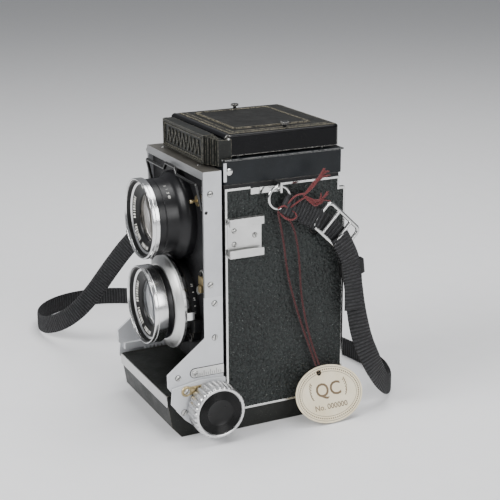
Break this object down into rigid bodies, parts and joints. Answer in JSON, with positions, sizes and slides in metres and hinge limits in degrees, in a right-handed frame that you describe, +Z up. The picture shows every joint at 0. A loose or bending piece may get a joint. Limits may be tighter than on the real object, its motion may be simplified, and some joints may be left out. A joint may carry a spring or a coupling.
{
  "type": "twin lens reflex camera",
  "caption": "Twin lens reflex camera with bellows rack focusing, folding finder hood, hinged back, film spools, neck strap and paper tag.",
  "frame": {"origin": "mouth of the tripod socket in the base", "axes": "+Z up, the lenses look along -Y, the operator's left side is +X"},
  "size_m": [0.2622, 0.1813, 0.171],
  "materials": {
    "grey_paint": "satin",
    "black_paint": "satin",
    "black_alloy": "satin",
    "black_gloss": "gloss",
    "chrome": "polished",
    "steel": "satin",
    "aluminium": "satin",
    "brass": "satin",
    "leatherette": "grained",
    "bellows_cloth": "matte",
    "glass": "coated",
    "mirror": "polished",
    "webbing": "ribbed",
    "black_plastic": "gloss",
    "red_cord": "twisted",
    "paper": "matte"
  },
  "bodies": {
    "body": {"body_shell": "black_alloy", "base_casting": "black_alloy", "tripod_socket": "steel", "bed_strip": "chrome", "side_leather": "leatherette", "side_trim": "chrome", "finder_base": "black_alloy", "focusing_screen": "glass", "reflex_mirror": "mirror", "nameplate": "black_alloy", "hood_pins": "steel", "film_gate": "black_paint", "film_rollers": "steel", "door_pin": "steel", "knob_plates": "grey_paint", "accessory_shoe": "chrome", "body_screws": "steel", "strap_lugs": "chrome", "split_rings": "chrome", "strap": "webbing", "strap_buckle": "chrome", "strap_keepers": "black_plastic", "tag": "paper", "tag_cord_front": "red_cord", "tag_cord_back": "red_cord", "bellows": "bellows_cloth"},
    "standard": {"front_frame": "grey_paint", "arm_left": "grey_paint", "arm_right": "grey_paint", "lens_board": "black_paint", "viewing_barrel": "black_paint", "viewing_glass": "glass", "shutter_housing": "black_paint", "taking_barrel": "chrome", "taking_glass": "glass", "shutter_blades": "steel", "standard_screws": "steel", "distance_scale": "grey_paint"},
    "focus": {"focus_shaft": "steel", "focus_knob_left": "aluminium", "focus_knob_right": "aluminium"},
    "speed_ring": {"speed_ring": "black_paint"},
    "aperture_lever": {"aperture_lever": "chrome"},
    "cocking_lever": {"cocking_lever": "steel"},
    "release_lever": {"release_lever": "steel"},
    "lens_bail": {"lens_bail": "steel"},
    "hood_lid": {"hood_lid": "black_gloss"},
    "hood_wall_left": {"hood_wall_left": "black_paint"},
    "hood_wall_right": {"hood_wall_right": "black_paint"},
    "hood_wall_rear": {"hood_wall_rear": "black_paint"},
    "magnifier": {"magnifier": "steel", "magnifier_lens": "glass"},
    "takeup": {"takeup_spool": "black_paint", "advance_knob": "aluminium"},
    "supply_spool": {"supply_spool": "black_paint"},
    "spool_knob": {"spool_knob": "aluminium"},
    "back_door": {"back_door": "black_alloy", "door_leather": "leatherette", "pressure_plate": "steel"},
    "door_latch": {"door_latch": "steel"}
  },
  "joints": [
    {"name": "focus_slide", "type": "slide", "parent": "body", "child": "standard", "axis": [0, -1, 0], "range_m": [0, 0.055], "deforming": ["bellows"]},
    {"name": "focus_turn", "type": "hinge", "parent": "body", "child": "focus", "pos_m": [0, -0.045, 0.019], "axis": [1, 0, 0], "range_deg": [0, 421]},
    {"name": "speed_ring_turn", "type": "hinge", "parent": "standard", "child": "speed_ring", "pos_m": [0, -0.054, 0.0679], "axis": [0, -1, 0], "range_deg": [-75, 75]},
    {"name": "aperture_turn", "type": "hinge", "parent": "standard", "child": "aperture_lever", "pos_m": [0, -0.0496, 0.0679], "axis": [0, -1, 0], "range_deg": [-12, 30]},
    {"name": "cocking_turn", "type": "hinge", "parent": "standard", "child": "cocking_lever", "pos_m": [-0.0325, -0.0448, 0.06], "axis": [0, -1, 0], "range_deg": [-24, 15], "stiffness_Nm_per_rad": 0.004},
    {"name": "release_turn", "type": "hinge", "parent": "standard", "child": "release_lever", "pos_m": [0.0325, -0.0448, 0.092], "axis": [0, -1, 0], "range_deg": [-20, 10], "stiffness_Nm_per_rad": 0.004},
    {"name": "lens_lock_turn", "type": "hinge", "parent": "standard", "child": "lens_bail", "pos_m": [0, -0.0454, 0.128], "axis": [1, 0, 0], "range_deg": [0, 20], "stiffness_Nm_per_rad": 0.01},
    {"name": "hood_lid_hinge", "type": "hinge", "parent": "body", "child": "hood_lid", "pos_m": [0, -0.0306, 0.1656], "axis": [1, 0, 0], "range_deg": [0, 90]},
    {"name": "hood_left_hinge", "type": "hinge", "parent": "body", "child": "hood_wall_left", "pos_m": [0.0338, 0, 0.1576], "axis": [0, 1, 0], "range_deg": [0, 90]},
    {"name": "hood_right_hinge", "type": "hinge", "parent": "body", "child": "hood_wall_right", "pos_m": [-0.0338, 0, 0.1576], "axis": [0, -1, 0], "range_deg": [0, 90]},
    {"name": "hood_rear_hinge", "type": "hinge", "parent": "body", "child": "hood_wall_rear", "pos_m": [0, 0.034, 0.1576], "axis": [-1, 0, 0], "range_deg": [0, 90]},
    {"name": "magnifier_hinge", "type": "hinge", "parent": "hood_lid", "child": "magnifier", "pos_m": [0, 0.005, 0.1638], "axis": [1, 0, 0], "range_deg": [-90, 0]},
    {"name": "advance_turn", "type": "hinge", "parent": "body", "child": "takeup", "pos_m": [0, 0.0198, 0.1115], "axis": [1, 0, 0], "continuous": true},
    {"name": "supply_turn", "type": "hinge", "parent": "body", "child": "supply_spool", "pos_m": [0, 0.0198, 0.0255], "axis": [1, 0, 0], "continuous": true},
    {"name": "spool_knob_pull", "type": "slide", "parent": "body", "child": "spool_knob", "axis": [-1, 0, 0], "range_m": [0, 0.006]},
    {"name": "back_door_hinge", "type": "hinge", "parent": "body", "child": "back_door", "pos_m": [0, 0.037, 0.0144], "axis": [-1, 0, 0], "range_deg": [0, 90]},
    {"name": "door_latch_turn", "type": "hinge", "parent": "back_door", "child": "door_latch", "pos_m": [0, 0.038, 0.126], "axis": [0, 1, 0], "range_deg": [0, 90]}
  ],
  "couplings": [
    {"joint": "focus_turn", "follows": "focus_slide", "rad_per_m": 133.33},
    {"joint": "hood_left_hinge", "follows": "hood_lid_hinge", "ratio": 1},
    {"joint": "hood_right_hinge", "follows": "hood_lid_hinge", "ratio": 1},
    {"joint": "hood_rear_hinge", "follows": "hood_lid_hinge", "ratio": 1},
    {"joint": "magnifier_hinge", "follows": "hood_lid_hinge", "ratio": -1}
  ]
}
